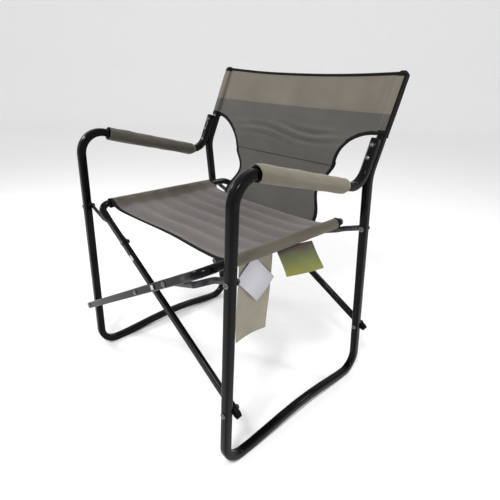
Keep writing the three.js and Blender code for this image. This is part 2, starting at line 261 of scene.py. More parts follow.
def greySteel():
    # pressed strap, painted dark and rubbed grey
    p = Paint("greySteel")
    place = p.place()
    rub = p.ramp(p.noise(place, 60.0, 5.0, 0.65), 0.4, 0.75)
    colour = p.mix(rub, rgb(38, 39, 42), rgb(82, 83, 87))
    return p.set(
        Base_Color=colour,
        Metallic=0.55,
        Roughness=0.3 + rub * 0.2,
        Normal=p.bump(p.noise(place, 700.0), 0.06, 0.0004),
    )


def brightSteel():
    p = Paint("brightSteel")
    place = p.place()
    scuff = p.ramp(p.noise(place, 240.0, 4.0, 0.7), 0.4, 0.7)
    colour = p.mix(scuff, rgb(120, 121, 124), rgb(52, 52, 55))
    return p.set(Base_Color=colour, Metallic=0.9, Roughness=0.2 + scuff * 0.25)


def blackPlastic():
    p = Paint("blackPlastic")
    place = p.place()
    grain = p.noise(place, 1400.0, 2.0)
    colour = p.mix(p.ramp(p.noise(place, 90.0, 3.0), 0.5, 0.8), rgb(16, 16, 17), rgb(34, 34, 36))
    return p.set(Base_Color=colour, Roughness=0.38 + grain * 0.14, Normal=p.bump(grain, 0.15, 0.0004))


def blackFoam():
    # open cells on the cut end
    p = Paint("blackFoam")
    place = p.place()
    cells = p.node("TexVoronoi", {}, {"Vector": place, "Scale": 900.0})
    colour = p.mix(p.ramp(cells, 0.1, 0.7), rgb(10, 10, 10), rgb(30, 30, 31))
    return p.set(Base_Color=colour, Roughness=0.92, Normal=p.bump(cells, 0.5, 0.0008))


def cloth(name, light, dark, thread=0.0011, slub=0.35, bumpy=0.5):
    # plain weave of a melange yarn; the sheet's own UVs are in metres
    p = Paint(name)
    u, v, _ = p.axes(p.place("UV"))
    turns = 2 * math.pi / thread
    warp = (u * turns).sine()
    weft = (v * turns).sine()
    over = (warp * weft) * 0.5 + 0.5
    rows = weft.power(2.0)
    place = p.place("UV")
    yarn = p.noise(place, 260.0, 3.0, 0.7)
    patch = p.noise(place, 9.0, 4.0, 0.55)
    fade = p.ramp(patch, 0.3, 0.75)
    tone = over * 0.25 + yarn * slub + fade * 0.4
    return p.set(
        Base_Color=p.mix(tone, dark, light),
        Roughness=0.78 + yarn * 0.15,
        Normal=p.bump(over * 0.7 + rows * 0.3 + yarn * 0.4, bumpy, 0.0006),
        Sheen_Weight=0.25,
        Sheen_Roughness=0.5,
        Specular_IOR_Level=0.3,
    )


def ribbedTape():
    p = Paint("ribbedTape")
    u, v, _ = p.axes(p.place("UV"))
    rib = (v * (2 * math.pi / 0.0012)).sine() * (u * (2 * math.pi / 0.0018)).sine()
    lint = p.ramp(p.noise(p.place("UV"), 320.0, 3.0), 0.6, 0.8)
    return p.set(
        Base_Color=p.mix(lint * 0.5, rgb(7, 7, 8), rgb(34, 33, 32)),
        Roughness=0.72 + lint * 0.2,
        Normal=p.bump(rib, 0.5, 0.0005),
        Specular_IOR_Level=0.15,
    )


def sewingThread(name, colour, shade):
    p = Paint(name)
    twist = p.noise(p.place(), 2600.0, 1.0)
    return p.set(Base_Color=p.mix(twist, colour, shade), Roughness=0.6, Normal=p.bump(twist, 0.4, 0.0003))


def thinTape():
    # woven label, blank, with the faint rows of its weave
    p = Paint("thinTape")
    u, v, _ = p.axes(p.place("UV"))
    rows = (v * (2 * math.pi / 0.0016)).sine() * 0.5 + 0.5
    patch = p.noise(p.place("UV"), 30.0, 4.0)
    tone = rows * 0.2 + patch * 0.5 + (u * 2600.0).sine() * 0.05
    return p.set(
        Base_Color=p.mix(tone, rgb(166, 160, 144), rgb(120, 115, 101)),
        Roughness=0.75,
        Normal=p.bump(rows + patch, 0.3, 0.0005),
    )


def coatedCard(name, stops):
    # a plain printed card: soft bands of colour, no picture and no words
    p = Paint(name)
    _, v, _ = p.axes(p.place("UV"))
    drift = p.noise(p.place("UV"), 26.0, 3.0)
    bands = p.node("ValToRGB", {"stops": stops}, {0: v * 10.0 + drift * 0.35 - 0.17})
    fibre = p.noise(p.place("UV"), 900.0, 2.0)
    return p.set(
        Base_Color=p.mix(fibre * 0.06, bands, rgb(120, 120, 120)),
        Roughness=0.32 + fibre * 0.12,
        Coat_Weight=0.3,
    )


def paleFloor():
    p = Paint("paleFloor")
    grain = p.noise(p.place(), 30.0, 3.0)
    return p.set(Base_Color=p.mix(grain, rgb(250, 250, 250), rgb(244, 244, 244)), Roughness=0.85)


enamel = blackEnamel()
strapSteel = greySteel()
brightMetal = brightSteel()
plastic = blackPlastic()
foam = blackFoam()
tape = ribbedTape()
taupeCloth = cloth("taupeCloth", rgb(118, 111, 99), rgb(84, 79, 70))
slateCloth = cloth("slateCloth", rgb(88, 85, 80), rgb(60, 58, 55))
seatCloth = cloth("seatCloth", rgb(98, 90, 86), rgb(66, 60, 58))
armCloth = cloth("armCloth", rgb(128, 120, 100), rgb(88, 82, 68), thread=0.0022, bumpy=0.9)
# a darker copy of the arm cloth: painted shade for the far arm's cover
farCloth = cloth("farCloth", rgb(80, 74, 62), rgb(50, 47, 39), thread=0.0022, bumpy=0.9)
railCloth = cloth("railCloth", rgb(108, 101, 85), rgb(78, 72, 60))
# a darker copy of the rail cloth: painted shade for the far rail sleeve and the seat's far hem band
farRailCloth = cloth("farRailCloth", rgb(84, 77, 67), rgb(58, 53, 46))
greyThread = sewingThread("greyThread", rgb(88, 85, 80), rgb(64, 62, 58))
labelTape = thinTape()
whiteCard = coatedCard("whiteCard", [
    (0.0, rgb(176, 176, 184)),
    (0.5, rgb(204, 204, 211)),
    (1.0, rgb(184, 184, 192)),
])
tintedCard = coatedCard("tintedCard", [
    (0.0, rgb(120, 118, 34)),
    (0.35, rgb(86, 96, 40)),
    (0.6, rgb(70, 62, 44)),
    (0.8, rgb(110, 32, 36)),
    (1.0, rgb(88, 26, 34)),
])
print("materials made")


# mesh helpers
def makeMesh(name, points, faces, materials, faceMaterial=None, uvs=None):
    mesh = bpy.data.meshes.new(name)
    mesh.from_pydata([tuple(p) for p in points], [], faces)
    for material in materials:
        mesh.materials.append(material)
    layer = mesh.uv_layers.new(name="UVMap") if uvs else None
    for index, polygon in enumerate(mesh.polygons):
        polygon.use_smooth = True
        if faceMaterial:
            polygon.material_index = faceMaterial[index]
        if layer:
            for loop, uv in zip(polygon.loop_indices, uvs[index]):
                layer.data[loop].uv = uv
    mesh.validate()
    piece = bpy.data.objects.new(name, mesh)
    bpy.context.scene.collection.objects.link(piece)
    return piece


def sharpen(piece, degrees=40):
    # flat caps stay crisp beside smooth walls
    limit = math.radians(degrees)
    mesh = piece.data
    faces = {}
    for polygon in mesh.polygons:
        for key in polygon.edge_keys:
            faces.setdefault(key, []).append(polygon.normal)
    for edge in mesh.edges:
        normals = faces.get(edge.key, [])
        if len(normals) == 2 and normals[0].length > 0 and normals[1].length > 0:
            edge.use_edge_sharp = normals[0].angle(normals[1]) > limit
    return piece


def thicken(piece, thickness, offset):
    # a sheet becomes a closed shell
    modifier = piece.modifiers.new("thickness", "SOLIDIFY")
    modifier.thickness = thickness
    modifier.offset = offset
    bpy.context.view_layer.update()
    evaluated = piece.evaluated_get(bpy.context.evaluated_depsgraph_get())
    mesh = bpy.data.meshes.new_from_object(evaluated)
    piece.modifiers.clear()
    piece.data = mesh
    return piece


def recalc(piece):
    # every face looks outwards
    made = bmesh.new()
    made.from_mesh(piece.data)
    bmesh.ops.recalc_face_normals(made, faces=made.faces)
    made.to_mesh(piece.data)
    made.free()
    return piece


def hump(value, middle, spread):
    # 1 at the middle, fading to nothing on both sides
    return math.exp(-((value - middle) / spread) ** 2)


def clamp(value):
    return min(1.0, max(0.0, value))


def ease(value):
    return value * value * (3 - 2 * value)


def centreOf(node):
    low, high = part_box(node)
    return (low + high) / 2


def bodyOf(node):
    carrier = frame["nodes"][node].parent
    return next(body for body, empty in frame["bodies"].items() if empty == carrier)


def bentPath(corners, step=math.radians(4), run=0.02):
    # points and directions along straight runs and round bends, in the YZ plane
    points = [Vector((0, y, z)) for y, z, *_ in corners]
    path = []

    def straight(start, end):
        count = max(1, math.ceil((end - start).length / run))
        for i in range(count):
            path.append((start.lerp(end, i / count), (end - start).normalized()))

    last = points[0]
    for i in range(1, len(points) - 1):
        before = (points[i] - points[i - 1]).normalized()
        after = (points[i + 1] - points[i]).normalized()
        radius, turn = corners[i][2], before.angle(after)
        reach = radius * math.tan(turn / 2)
        start = points[i] - before * reach
        inward = (after - before * math.cos(turn)).normalized()
        straight(last, start)
        count = max(2, math.ceil(turn / step))
        for k in range(count):
            angle = turn * k / count
            point = start + before * (radius * math.sin(angle)) + inward * (radius * (1 - math.cos(angle)))
            path.append((point, before * math.cos(angle) + inward * math.sin(angle)))
        last = points[i] + after * reach
    straight(last, points[-1])
    path.append((points[-1], (points[-1] - last).normalized()))
    return path


def lengths(path):
    total = [0.0]
    for (a, _), (b, _) in zip(path, path[1:]):
        total.append(total[-1] + (b - a).length)
    return total


clothRadius = 0.012  # only sets how wide the weave lies round a sleeve


def loft(path, outline, sides, capEnds=True):
    # outline(share, index, along) is how far the skin stands off along X and along the bend's normal
    points, faces, uvs = [], [], []
    along = lengths(path)
    for i, (centre, way) in enumerate(path):
        normal = Vector((0, -way.z, way.y))
        share = along[i] / along[-1]
        for k in range(sides):
            across, out = outline(share, k, along[i])
            points.append(centre + Vector((across, 0, 0)) + normal * out)
    rim = 2 * math.pi * clothRadius
    for i in range(len(path) - 1):
        for k in range(sides):
            a, b = i * sides + k, i * sides + (k + 1) % sides
            faces.append((a, b, b + sides, a + sides))
            u0, u1 = rim * k / sides, rim * (k + 1) / sides
            uvs.append(((u0, along[i]), (u1, along[i]), (u1, along[i + 1]), (u0, along[i + 1])))
    if capEnds:
        faces.append(tuple(reversed(range(sides))))
        uvs.append([(points[k].x, points[k].z) for k in reversed(range(sides))])
        base = (len(path) - 1) * sides
        faces.append(tuple(range(base, base + sides)))
        uvs.append([(points[base + k].x, points[base + k].z) for k in range(sides)])
    return points, faces, uvs


def squareOutline(half, corner, perCorner=6):
    # rounded square as a list of offsets
    offsets = []
    for quarter in range(4):
        centre = quarter * math.pi / 2 + math.pi / 4
        cx, cy = (math.sqrt(2) * (half - corner) * f(centre) for f in (math.cos, math.sin))
        for i in range(perCorner):
            angle = quarter * math.pi / 2 + (math.pi / 2) * i / (perCorner - 1)
            offsets.append((cx + corner * math.cos(angle), cy + corner * math.sin(angle)))
    return offsets


def turned(profile, centre, tilt=0.0, sides=28):
    # a lathed piece whose axis points back along Y, tipped down by tilt
    points, faces = [], []
    for radius, y in profile:
        for k in range(sides):
            angle = 2 * math.pi * k / sides
            points.append(Vector((radius * math.cos(angle), y, radius * math.sin(angle))))
    for i in range(len(profile) - 1):
        for k in range(sides):
            a, b = i * sides + k, i * sides + (k + 1) % sides
            faces.append((a, a + sides, b + sides, b))
    faces.append(tuple(range(sides)))
    faces.append(tuple(reversed(range(len(points) - sides, len(points)))))
    spin = Matrix.Rotation(-tilt, 3, "X")
    return [spin @ p + centre for p in points], faces


# side frames
sideTube = {"corner": 0.0048, "endRound": 0.0012, "endDraw": 0.12, "sharp": 50}


def sideCorners():
    front, rear = size["frontCorner"], size["frontCorner"] + size["floorSpan"]
    arch = [(front + along, size["floorRail"] + rise, bend) for along, rise, bend in size["arch"]]
    return [
        (armEndY(size["armEnd"]), size["armEnd"], 0),
        (armElbow, armZ(armElbow), size["armElbowBend"]),
        (frontPost(size["armFront"]), size["armFront"], size["armFrontBend"]),
        (front, size["floorRail"], size["footBend"]),
        *arch,
        (rear, size["floorRail"], size["footBend"]),
        (kneeY, size["backKnee"], size["backKneeBend"]),
        (backY(size["backTop"]), size["backTop"], 0),
    ]


def atSide(points, x):
    return [p + placed(x, 0, 0) for p in points]


def makeSideFrame(side, sign):
    path = bentPath(sideCorners())
    total = lengths(path)[-1]
    offsets = squareOutline(size["postTube"] / 2, sideTube["corner"])
    endRound = sideTube["endRound"]

    def outline(share, k, along):
        # both ends are rounded over a little
        end = min(along, total - along)
        shrink = 1 - sideTube["endDraw"] * max(0.0, 1 - end / endRound)
        return offsets[k][0] * shrink, offsets[k][1] * shrink

    first, last = path[0], path[-1]
    path.insert(1, (first[0] + first[1] * endRound, first[1]))
    path.insert(-1, (last[0] - last[1] * endRound, last[1]))
    points, faces, uvs = loft(path, outline, len(offsets))
    points = atSide(points, sign * size["halfSpan"])
    piece = makeMesh(f"sideTube.{side}", points, faces, [enamel], uvs=uvs)
    sharpen(piece, sideTube["sharp"])
    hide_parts(f"side_frame_{side}")
    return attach(piece, f"side_{side}")


# leg frames
legs = {
    "halfThick": 0.006,
    "halfWide": 0.0098,
    "round": 0.015,  # still round below the bend
    "press": 0.025,  # from round to flat
    "sides": 32,
    "run": 0.008,
    "endRound": 0.004,
    "endDraw": 0.25,
    "sharp": 50,
}


def legCorners():
    length, depth, lean = size["legLength"], size["legDepth"], size["legLean"]
    return [
        (0, -size["legTail"], 0),
        (0, length, size["legBend"]),
        (depth + lean * length, length, size["legBend"]),
        (depth - lean * size["legTail"], -size["legTail"], 0),
    ]


def makeLegFrame(side, sign):
    path = bentPath(legCorners(), run=legs["run"])
    totals = lengths(path)
    radius = size["railTube"] / 2
    roundFrom = size["legLength"] - size["legBend"] - legs["round"]

    def outline(share, k, along):
        angle = 2 * math.pi * k / legs["sides"]
        across, out = radius * math.cos(angle), radius * math.sin(angle)
        point = path[min(range(len(path)), key=lambda i: abs(totals[i] - along))][0]
        flatness = ease(clamp((roundFrom - point.z) / legs["press"]))
        flat = max(-legs["halfThick"], min(legs["halfThick"], out))
        wide = across * (1 + (legs["halfWide"] / radius - 1) * flatness)
        end = min(along, totals[-1] - along)
        shrink = 1 - legs["endDraw"] * max(0.0, 1 - end / legs["endRound"])
        return wide * shrink, (out + (flat - out) * flatness) * shrink

    points, faces, uvs = loft(path, outline, legs["sides"])
    turn = Matrix.Rotation(sign * size["openTilt"], 3, "Y")
    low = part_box(f"leg_frame_{side}")[0]
    # the round bends stand out further than the pressed legs
    start = Vector((-sign * size["halfSpan"], low.y + radius, size["lowerPivot"]))
    piece = makeMesh(f"legTube.{side}", [turn @ p + start for p in points], faces, [enamel], uvs=uvs)
    sharpen(piece, legs["sharp"])
    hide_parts(f"leg_frame_{side}")
    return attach(piece, f"leg_{side}")


# links
strap = {
    "halfWidth": 0.007,
    "thick": 0.0025,
    "tail": 0.009,
    "joggle": (0.34, 0.5),
    "rib": 0.0011,
    "ribHalf": 0.5,
    "ribFrom": 0.022,
    "ribEase": 0.01,
    "across": [-1, -0.92, -0.55, -0.38, -0.2, 0, 0.2, 0.38, 0.55, 0.92, 1],
    "edge": 0.75,  # thickness left at the rolled edges
    "narrowest": 0.0006,
    "stations": 72,
    "sharp": 45,
}


def makeLink(end, side, sign):
    node = f"link_{end}_{side}"
    post = centreOf(f"link_post_{end}_{side}_cap")
    foot = centreOf(f"link_leg_{end}_{side}_stud")
    low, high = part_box(node)
    aheadY, behindY = low.y + strap["thick"] / 2, high.y - strap["thick"] / 2
    # the left links run forward from post to leg, the right ones back
    startY, endY = (behindY, aheadY) if side == "left" else (aheadY, behindY)
    way = Vector((foot.x - post.x, 0, foot.z - post.z))
    length = way.length
    way.normalize()
    sideways = Vector((-way.z, 0, way.x))
    points, faces = [], []
    loop = len(strap["across"]) * 2
    joggleStart, joggleEnd = strap["joggle"]
    total = length + 2 * strap["tail"]
    for i in range(strap["stations"] + 1):
        share = i / strap["stations"]
        along = total * (0.5 - 0.5 * math.cos(math.pi * share)) - strap["tail"]
        reach = min(along + strap["tail"], length + strap["tail"] - along)
        half = strap["halfWidth"]
        if reach < half:
            half = max(strap["narrowest"], math.sqrt(max(0.0, half * half - (half - reach) ** 2)))
        y = startY + (endY - startY) * ease(clamp((along / length - joggleStart) / (joggleEnd - joggleStart)))
        ribbed = clamp((reach - strap["ribFrom"]) / strap["ribEase"])
        for face in (1, -1):
            for a in strap["across"][::face]:
                bulge = math.cos(clamp(abs(a) / strap["ribHalf"]) * math.pi / 2)
                lift = strap["rib"] * ribbed * max(0.0, bulge)
                edge = strap["edge"] if abs(a) == 1 else 1.0
                depth = -face * strap["thick"] / 2 * edge - lift
                centre = Vector((post.x, y + depth, post.z)) + way * along
                points.append(centre + sideways * (a * half))
    for i in range(strap["stations"]):
        for k in range(loop):
            a, b = i * loop + k, i * loop + (k + 1) % loop
            faces.append((a, b, b + loop, a + loop))
    faces.append(tuple(reversed(range(loop))))
    faces.append(tuple(range(strap["stations"] * loop, (strap["stations"] + 1) * loop)))
    piece = makeMesh(f"strap.{end}.{side}", points, faces, [strapSteel])
    recalc(piece)
    sharpen(piece, strap["sharp"])
    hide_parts(node)
    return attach(piece, node + "_body")


# fasteners
fastener = {
    "head": 0.0065,
    "shank": 0.003,
    "room": 0.0003,
    "headHeight": 0.0035,
    "capHeight": 0.007,
    "rimShare": 3,  # the rim under a dome is one part in this many
    "dimple": [(0.0006, 0.55), (0.0016, 0.6), (0.0022, 0.97)],  # radius, and share of the head's height
    "dimpleEdge": 0.0024,
    "capDraw": 0.94,
    "spacerWall": 0.0028,
    "spacerEase": 0.0005,
    "rivetStand": 0.00045,
    "rivetRim": 0.0006,
    "rivetLess": 0.001,
    "sharp": 35,
}


def domeProfile(radius, base, height, steps=7):
    profile = []
    for i in range(steps + 1):
        angle = math.pi / 2 * i / steps
        profile.append((max(0.0002, radius * math.cos(angle)), base + height * math.sin(angle)))
    return profile


def addTurned(name, profile, centre, node, material, tilt=0.0):
    points, faces = turned(profile, centre, tilt)
    piece = makeMesh(name, points, faces, [material])
    recalc(piece)
    sharpen(piece, fastener["sharp"])
    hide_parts(node)
    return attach(piece, bodyOf(node))


def makeHead(node, low, high):
    # low domed head on a rim, with a dimple where the tool pressed it
    f = fastener
    height = f["headHeight"]
    rim = height / f["rimShare"]
    dimple = [(radius, -height * share) for radius, share in f["dimple"]]
    dome = [(r, -y) for r, y in reversed(domeProfile(f["head"], rim, height - rim)) if r > f["dimpleEdge"]]
    shank = [(f["head"], 0.0), (f["shank"], 0.0), (f["shank"], high.y - low.y - height)]
    centre = Vector(((low.x + high.x) / 2, low.y + height, (low.z + high.z) / 2))
    addTurned("head." + node, dimple + dome + shank, centre, node, brightMetal)


def makeDome(node, low, high):
    f = fastener
    height = f["capHeight"]
    rim = height / f["rimShare"]
    stub = high.y - low.y - height
    base = [(f["shank"], -stub), (f["shank"], 0.0)] if stub > f["room"] else [(f["shank"] + f["room"], 0.0)]
    skirt = [(f["head"], 0.0), (f["head"], rim * 0.55), (f["head"] * f["capDraw"], rim * 0.7)]
    dome = domeProfile(f["head"] * f["capDraw"], rim, height - rim)
    centre = Vector(((low.x + high.x) / 2, high.y - height, (low.z + high.z) / 2))
    addTurned("dome." + node, base + skirt + dome, centre, node, plastic)


def makeSpacer(node, low, high):
    f = fastener
    length = high.y - low.y
    inner, outer, edge = f["shank"] + f["room"], f["shank"] + f["spacerWall"], f["spacerEase"]
    wall = [(outer - edge, 0), (outer, edge), (outer, length - edge), (outer - edge, length)]
    centre = Vector(((low.x + high.x) / 2, low.y, (low.z + high.z) / 2))
    addTurned("ring." + node, [(inner, 0), *wall, (inner, length)], centre, node, plastic)


def makeRivet(node, low, high):
    # through the arm's end and the upright, square to their lean
    f = fastener
    half, head, rim = size["postTube"] + f["rivetStand"], f["head"] - f["rivetLess"], f["rivetRim"]
    far = [(head, half), *domeProfile(head, half + rim, f["headHeight"] - rim)]
    near = [(r, -y) for r, y in reversed(far)]
    addTurned("rivet." + node, near + far, (low + high) / 2, node, brightMetal, backAngle)


def makeFasteners():
    makers = {"_bolt": makeHead, "_screw": makeHead, "_cap": makeDome, "_stud": makeDome, "_spacer": makeSpacer}
    for node in sorted(frame["nodes"]):
        low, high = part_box(node)
        for ending, maker in makers.items():
            if node.endswith(ending):
                maker(node, low, high)
        if node.startswith("arm_rivet"):
            makeRivet(node, low, high)


# arm pads
pad = {
    "left": {"cover": (0.060, 0.350), "cloth": armCloth},
    # the far cover takes the arm cloth's painted-shade copy
    "right": {"cover": (0.090, 0.378), "cloth": farCloth},
    "run": 0.003,
    "sides": 48,
    "coverRadius": 0.0172,
    "coverThick": 0.0012,
    "coverDrop": 0.0006,
    "coverSquash": 0.98,
    "wrinkle": 0.0012,
    "wrinkleScale": 28.0,
    "winding": 0.0004,
    "seam": 0.0012,
    "seamAngle": 262,
    "seamSpread": 5,
    "gather": 0.34,
    "gatherLength": 0.016,
    "hem": 0.02,
    "hemPlace": 0.006,
    "hemSpread": 0.0016,
    "foamRadius": 0.0140,
    "foamRecess": 0.004,
    "foamShort": 0.022,
    "foamCrumple": 0.0004,
    "foamEase": 0.003,
    "foamLip": (0.86, 0.7),
    "foamDip": 0.0006,
}


def armRun(start, end):
    # the arm's centre line from a depth near the front to one near the rear
    run = [(p, -w) for p, w in reversed(bentPath(sideCorners()[:4], run=pad["run"]))]
    return [(p, w) for p, w in run if start <= p.y <= end and p.z > armZ(end) - size["armElbowBend"]]


def makeArmCover(side, sign):
    own = pad[side]
    path = armRun(*own["cover"])
    total = lengths(path)[-1]

    def skin(share, k, along):
        angle = 2 * math.pi * k / pad["sides"]
        puff = Vector((math.cos(angle) * 2, along * pad["wrinkleScale"], math.sin(angle) * 2 + sign * 5))
        radius = pad["coverRadius"] + pad["wrinkle"] * noise.noise(puff)
        # shallow folds that wind round it, and the seam underneath
        radius += pad["winding"] * math.sin(angle * 2 + along * 90) * (0.4 + share)
        radius += pad["seam"] * hump(math.degrees(angle), pad["seamAngle"], pad["seamSpread"])
        rear = max(0.0, 1 - (total - along) / pad["gatherLength"])
        radius *= 1 - pad["gather"] * rear * rear - pad["hem"] * hump(along, pad["hemPlace"], pad["hemSpread"])
        return radius * math.cos(angle), radius * math.sin(angle) * pad["coverSquash"] - pad["coverDrop"]

    points, faces, uvs = loft(path, skin, pad["sides"], capEnds=False)
    points = atSide(points, sign * size["halfSpan"])
    cover = makeMesh(f"armCover.{side}", points, faces, [own["cloth"]], uvs=uvs)
    recalc(cover)
    thicken(cover, pad["coverThick"], -1.0)
    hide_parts(f"arm_cover_{side}")
    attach(cover, f"side_{side}")


def makeArmFoam(side, sign):
    start, end = pad[side]["cover"]
    path = armRun(start + pad["foamRecess"], end - pad["foamShort"])
    count = pad["sides"]

    def skin(share, k, along):
        angle = 2 * math.pi * k / count
        cell = Vector((math.cos(angle) * 4, along * 120, math.sin(angle) * 4))
        front = max(0.0, 1 - along / pad["foamEase"])
        radius = (pad["foamRadius"] + pad["foamCrumple"] * noise.noise(cell)) * (1 - 0.12 * front * front)
        return radius * math.cos(angle), radius * math.sin(angle)

    points, faces, _ = loft(path, skin, count, capEnds=False)
    points = atSide(points, sign * size["halfSpan"])
    centre, way = path[0]
    centre = centre + placed(sign * size["halfSpan"], 0, 0)
    rim = 0
    # the cut end dips in towards the tube
    for step, shrink in enumerate(pad["foamLip"]):
        first = len(points)
        for k in range(count):
            points.append(centre + (points[k] - centre) * shrink + way * (pad["foamDip"] * (step + 1)))
        for k in range(count):
            after = (k + 1) % count
            faces.append((first + k, first + after, rim + after, rim + k))
        rim = first
    faces.append(tuple(range(rim, rim + count)))
    last = (len(path) - 1) * count
    faces.append(tuple(range(last, last + count)))
    piece = makeMesh(f"armFoam.{side}", points, faces, [foam])
    recalc(piece)
    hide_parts(f"arm_foam_{side}")
    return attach(piece, f"side_{side}")


# cloth sheets
def clothGrid(name, place, columns, rows, materials, choose, flatSize, thickness):
    # place(u, v) is a point, choose(u, v) a material's index
    points = [place(i / columns, j / rows) for j in range(rows + 1) for i in range(columns + 1)]
    faces, uvs, picks = [], [], []
    width, length = flatSize
    for j in range(rows):
        for i in range(columns):
            a = j * (columns + 1) + i
            faces.append((a, a + 1, a + columns + 2, a + columns + 1))
            corners = ((i, j), (i + 1, j), (i + 1, j + 1), (i, j + 1))
            uvs.append([(width * c / columns, length * r / rows) for c, r in corners])
            picks.append(choose((i + 0.5) / columns, (j + 0.5) / rows))
    piece = makeMesh(name, points, faces, materials, picks, uvs)
    thicken(piece, thickness, 0.0)
    for polygon in piece.data.polygons:
        polygon.use_smooth = True
    return piece


stitch = {"spacing": 0.0042, "length": 0.0027, "radius": 0.00042, "proud": 0.0012, "sink": 0.0003}


def stitchRow(points, normal):
    # short raised stitches along a line
    made, faces = [], []
    spacing, radius = stitch["spacing"], stitch["radius"]
    along, target = 0.0, spacing
    for a, b in zip(points, points[1:]):
        step = (b - a).length
        while along + step >= target:
            centre = a.lerp(b, (target - along) / max(step, 1e-9)) + normal * stitch["proud"]
            way = (b - a).normalized()
            across = way.cross(normal).normalized()
            half, sink = way * stitch["length"] / 2, normal * stitch["sink"]
            base = len(made)
            made += [
                centre - half - sink,
                centre + across * radius,
                centre + normal * radius,
                centre - across * radius,
                centre - normal * radius,
                centre + half - sink,
            ]
            for k in range(4):
                p, q = base + 1 + k, base + 1 + (k + 1) % 4
                faces += [(base, q, p), (base + 5, p, q)]
            target += spacing
        along += step
    return made, faces


def makeStitches(name, rows, material):
    points, faces = [], []
    for line, normal in rows:
        made, local = stitchRow(line, normal)
        faces += [tuple(i + len(points) for i in face) for face in local]
        points += made
    return makeMesh(name, points, faces, [material])


seat = {
    "wrap": 0.0085,
    "drop": 0.0200,
    "dropLength": 0.018,
    "crease": 0.0036,
    "creases": 6.5,
    "creaseEnds": 0.35,
    "ridgeShare": 0.5,
    "wander": 0.05,
    "quiver": 0.012,
    "uneven": 0.0022,
    "sag": 0.003,
    "frontPull": 0.007,
    "rearPull": 0.004,
    "binding": 0.011,
    "hemBand": 0.026,
    "hemStitches": (0.002, 0.008),
    "bindingStitch": 0.003,
    "stitchEnds": 0.03,
    "hem": 0.01,
    "thick": 0.002,
    "blendFrom": 0.02,
    "columns": 150,
    "rows": 110,
}


def seatSurface(u, v):
    half = railX - seat["wrap"]
    x = half * (2 * u - 1)
    y = size["seatFront"] + (size["seatRear"] - size["seatFront"]) * v
    edge = half - abs(x)
    z = railZ + seat["wrap"] - seat["drop"] * (1 - math.exp(-edge / seat["dropLength"]))
    middle = 4 * u * (1 - u)
    # tension creases from rail to rail, which wander a little, and a soft unevenness
    drift = seat["wander"] * math.sin(2.3 * u + 0.6) + seat["quiver"] * math.sin(9 * u)
    wave = math.sin(2 * math.pi * seat["creases"] * (v + drift))
    depth = seat["creaseEnds"] + (1 - seat["creaseEnds"]) * middle
    z += seat["crease"] * depth * wave * (1 if wave < 0 else seat["ridgeShare"])
    z += seat["uneven"] * noise.noise(Vector((x * 7, y * 9, 3.1)))
    z -= seat["sag"] * middle * math.sin(math.pi * v)
    # both edges pull in a touch between the rails
    y += seat["frontPull"] * middle * (1 - v) ** 3 - seat["rearPull"] * middle * v**6
    return placed(x, y, z)


def lineAcross(surface, start, end, count, fixed, along="u"):
    # points on a surface along one of its directions
    shares = [start + (end - start) * i / count for i in range(count + 1)]
    return [surface(share, fixed) if along == "u" else surface(fixed, share) for share in shares]


def makeSeat():
    width = 2 * (railX - seat["wrap"])
    depth = size["seatRear"] - size["seatFront"]
    cloths = [seatCloth, tape, railCloth, farRailCloth]

    def choose(u, v):
        if v * depth < seat["binding"]:
            return 1
        if min(u, 1 - u) * width < seat["hemBand"]:
            # the far hem band takes the rail cloth's painted-shade copy
            return 2 if u > 0.5 else 3
        return 0

    panel = clothGrid("seatCloth", seatSurface, seat["columns"], seat["rows"], cloths, choose, (width, depth),
                      seat["thick"])
    up = Vector((0, 0, 1))
    low, high = seat["stitchEnds"], 1 - seat["stitchEnds"]
    rows = []
    for inset in seat["hemStitches"]:
        share = (seat["hemBand"] - inset) / width
        for u in (share, 1 - share):
            rows.append((lineAcross(seatSurface, low, high, 80, u, "v"), up))
    hem = (seat["binding"] + seat["bindingStitch"]) / depth
    rows.append((lineAcross(seatSurface, low, high, 120, hem), up))
    stitches = makeStitches("seatStitches", rows, greyThread)
    start = placed(-railX + seat["blendFrom"], 0, railZ)
    end = placed(railX - seat["blendFrom"], 0, railZ)
    for piece in (panel, stitches):
        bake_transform(piece)
    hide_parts("seat_panel")
    width + 2 * seat["hem"]
    return panel


railSleeve = {
    "left": {"cloth": railCloth, "ridgeAngle": 318},
    # the far sleeve takes the rail cloth's painted-shade copy
    "right": {"cloth": farRailCloth, "ridgeAngle": 222},
    "radius": 0.0118,
    "sides": 40,
    "stations": 90,
    "end": 0.009,
    "wrinkle": 0.0006,
    "ridge": 0.0010,
    "ridgeSpread": 7,
    "lip": 0.0008,
    "lipLength": 0.002,
    "thick": 0.0012,
}


def makeRailSleeve(side, sign):
    own = railSleeve[side]
    total = size["seatRear"] - size["seatFront"]
    stations = railSleeve["stations"]
    depths = [size["seatFront"] + total * i / stations for i in range(stations + 1)]
    run = [(Vector((0, y, 0)), Vector((0, 1, 0))) for y in depths]

    def skin(share, k, along):
        angle = 2 * math.pi * k / railSleeve["sides"]
        puff = Vector((math.cos(angle) * 1.5, along * 34, math.sin(angle) * 1.5 + sign))
        radius = railSleeve["radius"] + railSleeve["wrinkle"] * noise.noise(puff)
        # a sewn ridge where the hem is turned, low on the outside
        radius += railSleeve["ridge"] * hump(math.degrees(angle), own["ridgeAngle"], railSleeve["ridgeSpread"])
        radius += railSleeve["lip"] * math.exp(-min(along, total - along) / railSleeve["lipLength"])
        return radius * math.cos(angle), radius * math.sin(angle)

    points, faces, uvs = loft(run, skin, railSleeve["sides"], capEnds=False)
    points = [p + placed(sign * railX, 0, railZ) for p in points]
    piece = makeMesh(f"railSleeve.{side}", points, faces, [own["cloth"], tape], uvs=uvs)
    for polygon in piece.data.polygons:
        place = total * (polygon.index // railSleeve["sides"] + 0.5) / stations
        if min(place, total - place) < railSleeve["end"]:
            polygon.material_index = 1
    thicken(piece, railSleeve["thick"], -1.0)
    recalc(piece)
    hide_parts(f"seat_sleeve_{side}")
    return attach(piece, f"leg_{side}")


